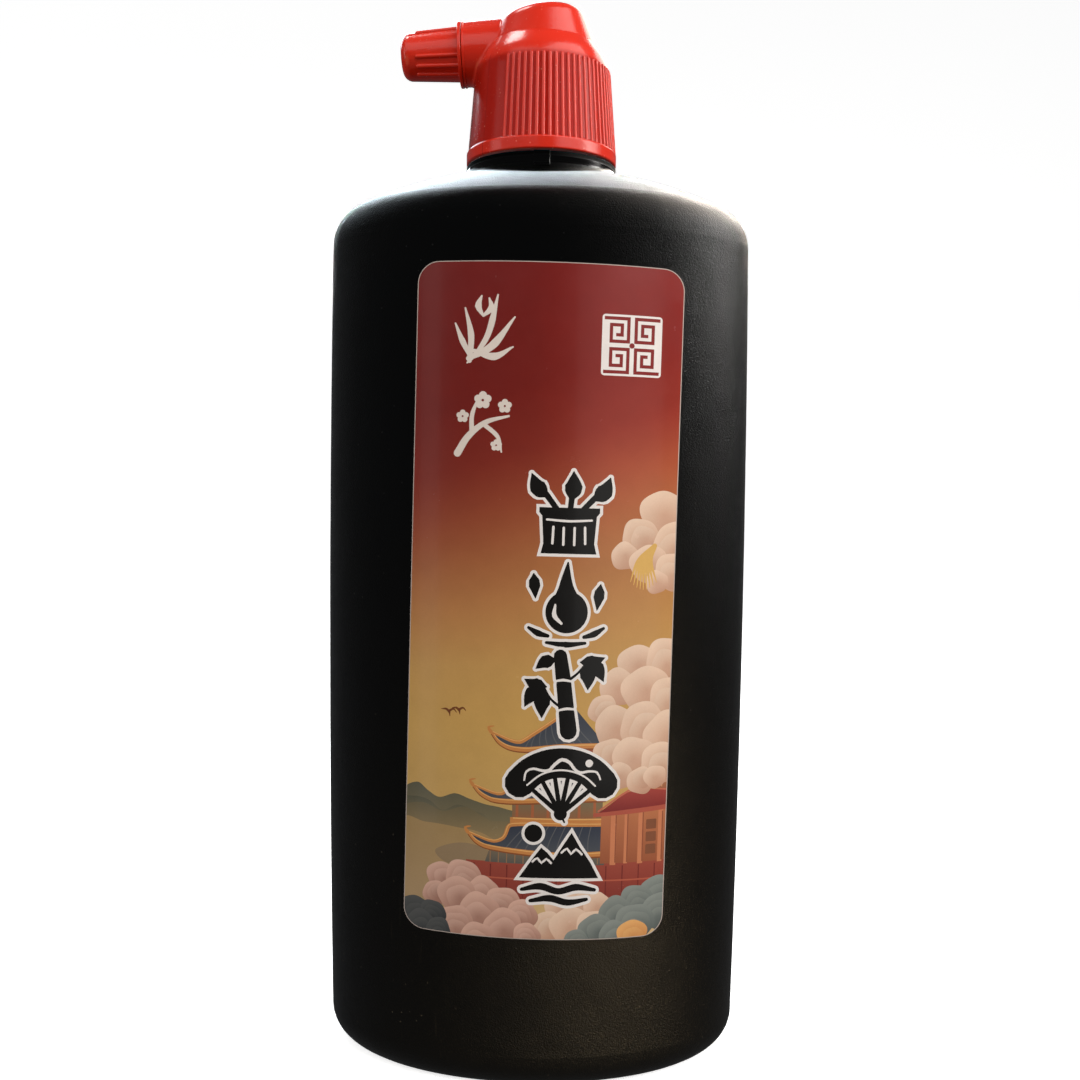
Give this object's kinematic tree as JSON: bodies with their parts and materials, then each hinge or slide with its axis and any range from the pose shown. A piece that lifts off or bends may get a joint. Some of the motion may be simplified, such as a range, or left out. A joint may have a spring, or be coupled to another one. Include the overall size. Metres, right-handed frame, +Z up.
{
  "type": "ink bottle",
  "caption": "Tall oval black plastic ink bottle with a printed front label, a ribbed red screw cap with a side spout, and a small push-on cap over the spout's tip.",
  "frame": {"origin": "centre of the foot, on the surface that the bottle stands on", "axes": "+Z up the bottle and its neck, -Y out of the labelled front, -X the way the spout points with the cap screwed home"},
  "size_m": [0.085, 0.0512, 0.2107],
  "materials": {
    "bottle_plastic": "satin black polyethylene with a fine grain",
    "label_film": "glossy printed film",
    "ink": "liquid black ink",
    "washer_foam": "white polyethylene foam",
    "cap_plastic": "glossy red polypropylene"
  },
  "bodies": {
    "bottle": {"bottle_body": "bottle_plastic", "front_label": "label_film", "ink_fill": "ink"},
    "washer": {"sealing_washer": "washer_foam"},
    "cap": {"dispensing_cap": "cap_plastic"},
    "nozzle_cover": {"nozzle_cap": "cap_plastic"}
  },
  "joints": [
    {"name": "cap_lift", "type": "slide", "parent": "bottle", "child": "washer", "axis": [0, 0, 1], "range_m": [0, 0.0094]},
    {"name": "cap_screw", "type": "hinge", "parent": "washer", "child": "cap", "pos_m": [0, 0, 0.1889], "axis": [0, 0, 1], "range_deg": [0, 840]},
    {"name": "nozzle_cap_pull", "type": "slide", "parent": "cap", "child": "nozzle_cover", "axis": [-0.9986, 0, -0.0523], "range_m": [0, 0.014]}
  ],
  "couplings": [
    {"joint": "cap_lift", "follows": "cap_screw", "m_per_rad": 0.00063662}
  ]
}
